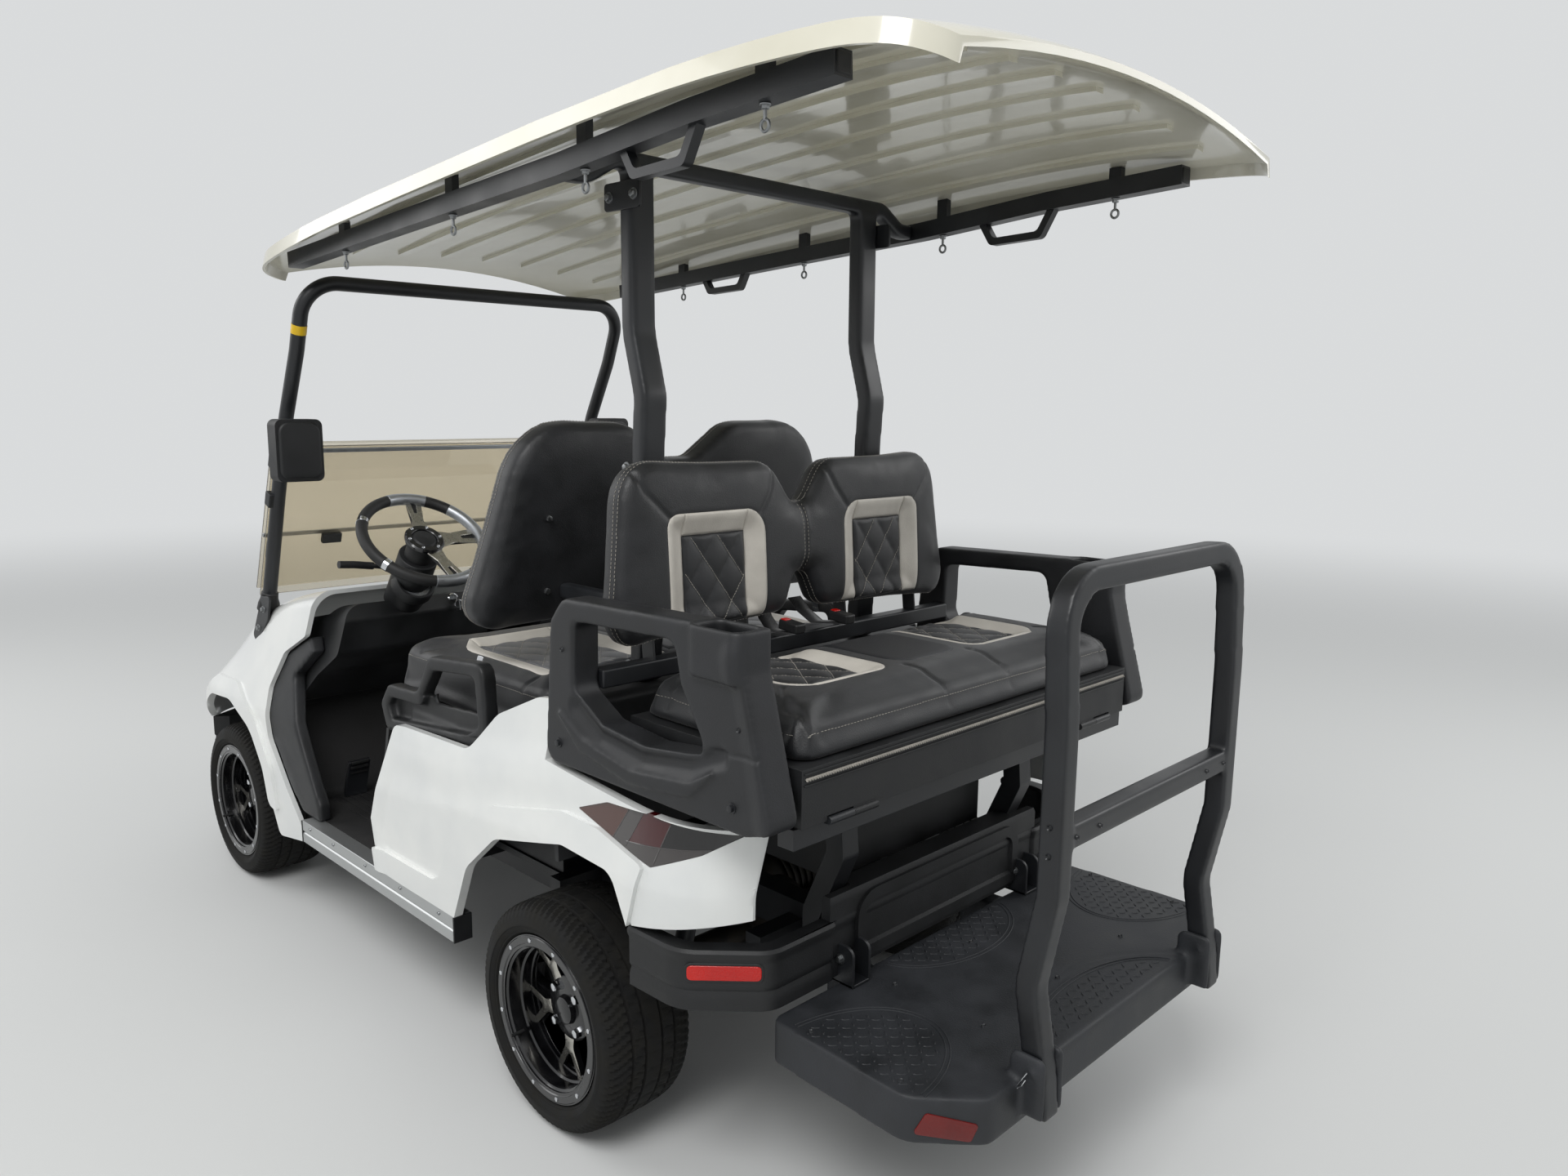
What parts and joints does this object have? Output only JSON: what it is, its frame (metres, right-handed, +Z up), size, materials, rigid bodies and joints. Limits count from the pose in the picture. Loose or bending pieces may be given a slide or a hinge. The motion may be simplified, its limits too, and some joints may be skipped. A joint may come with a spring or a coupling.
{
  "type": "golf cart",
  "caption": "Electric golf cart with front bench, rear-facing flip seat over a cargo deck, roof on posts, folding windshield, footplate and rear grab bar",
  "frame": {"origin": "on the ground under the middle of the cart, midway between the front bumper's nose and the back of the grab bar, halfway across", "axes": "+X points to the front of the cart, +Y to the driver's left, +Z up"},
  "size_m": [3.02, 1.234, 1.9802],
  "materials": {
    "body_paint": "pearl white body panels",
    "black_plastic": "black moulded plastic",
    "black_steel": "satin black painted steel",
    "gloss_black": "gloss black wheel paint",
    "roof_plastic": "cream moulded roof",
    "seat_vinyl": "black quilted vinyl",
    "tyre": "tyre rubber",
    "sill_aluminium": "brushed aluminium",
    "tinted_glass": "tinted acrylic",
    "cast_parts": "cast and machined iron",
    "lamp_lens": "smoked lens",
    "headlamp_lens": "clear lens over a bright bowl",
    "mirror_black": "black mirror housing",
    "battery_case": "battery case",
    "wheel_grip": "steering wheel grip"
  },
  "bodies": {
    "cart": {"rear_axle": "cast_parts", "rear_suspension": "black_steel", "chassis_frame": "black_steel", "floor_pan": "black_plastic", "sill_panels": "sill_aluminium", "quarter_panels": "body_paint", "tail_lamps": "lamp_lens", "seat_base": "black_plastic", "battery_pack": "battery_case", "front_seat_cushion": "seat_vinyl", "front_seat_back": "seat_vinyl", "hip_restraints": "black_plastic", "rear_seat_frame": "black_steel", "rear_side_panels": "black_plastic", "rear_seat_back": "seat_vinyl", "storage_box": "black_plastic", "footplate": "black_plastic", "grab_bar": "black_steel", "rear_bumper": "black_plastic", "front_cowl": "body_paint", "front_bumper": "black_plastic", "headlamps": "headlamp_lens", "dashboard": "black_plastic", "footwell_trims": "black_plastic", "front_hoop": "black_steel", "roof_posts": "black_steel", "roof_rails": "black_steel", "roof_canopy": "roof_plastic", "windshield_lower": "tinted_glass", "mirrors": "mirror_black", "steering_column": "black_plastic", "front_suspension": "black_steel", "pedals": "black_steel"},
    "rear_seat": {"cargo_deck": "black_plastic", "rear_seat_cushion": "seat_vinyl"},
    "upper_windshield": {"windshield_upper": "tinted_glass"},
    "steering": {"steering_wheel": "wheel_grip"},
    "rack": {"steering_rack": "cast_parts"},
    "left_knuckle": {"knuckle_left": "cast_parts"},
    "right_knuckle": {"knuckle_right": "cast_parts"},
    "wheel_front_left": {"rim_front_left": "gloss_black", "tyre_front_left": "tyre"},
    "wheel_front_right": {"rim_front_right": "gloss_black", "tyre_front_right": "tyre"},
    "wheel_rear_left": {"rim_rear_left": "gloss_black", "tyre_rear_left": "tyre"},
    "wheel_rear_right": {"rim_rear_right": "gloss_black", "tyre_rear_right": "tyre"}
  },
  "joints": [
    {"name": "rear_left_wheel_turns", "type": "hinge", "parent": "cart", "child": "wheel_rear_left", "pos_m": [-0.57, 0.514, 0.23], "axis": [0, 1, 0], "continuous": true},
    {"name": "rear_right_wheel_turns", "type": "hinge", "parent": "cart", "child": "wheel_rear_right", "pos_m": [-0.57, -0.514, 0.23], "axis": [0, 1, 0], "continuous": true},
    {"name": "left_knuckle_steers", "type": "hinge", "parent": "cart", "child": "left_knuckle", "pos_m": [1.106, 0.392, 0.23], "axis": [0, 0, 1], "range_deg": [-28, 28]},
    {"name": "front_left_wheel_turns", "type": "hinge", "parent": "left_knuckle", "child": "wheel_front_left", "pos_m": [1.106, 0.491, 0.23], "axis": [0, 1, 0], "continuous": true},
    {"name": "right_knuckle_steers", "type": "hinge", "parent": "cart", "child": "right_knuckle", "pos_m": [1.106, -0.392, 0.23], "axis": [0, 0, 1], "range_deg": [-28, 28]},
    {"name": "front_right_wheel_turns", "type": "hinge", "parent": "right_knuckle", "child": "wheel_front_right", "pos_m": [1.106, -0.491, 0.23], "axis": [0, 1, 0], "continuous": true},
    {"name": "steering_wheel_turns", "type": "hinge", "parent": "cart", "child": "steering", "pos_m": [0.424, 0.3, 1.062], "axis": [-0.6018, 0, 0.7986], "range_deg": [-450, 450]},
    {"name": "steering_rack_slides", "type": "slide", "parent": "cart", "child": "rack", "axis": [0, 1, 0], "range_m": [-0.0525, 0.0525]},
    {"name": "upper_windshield_folds", "type": "hinge", "parent": "cart", "child": "upper_windshield", "pos_m": [0.8552, 0, 1.3], "axis": [0, -1, 0], "range_deg": [0, 182]},
    {"name": "rear_seat_flips", "type": "hinge", "parent": "cart", "child": "rear_seat", "pos_m": [-1.17, 0, 0.765], "axis": [0, -1, 0], "range_deg": [0, 95]}
  ],
  "couplings": [
    {"joint": "left_knuckle_steers", "follows": "steering_wheel_turns", "ratio": 0.06222},
    {"joint": "right_knuckle_steers", "follows": "steering_wheel_turns", "ratio": 0.06222},
    {"joint": "steering_rack_slides", "follows": "steering_wheel_turns", "m_per_rad": -0.006575}
  ]
}
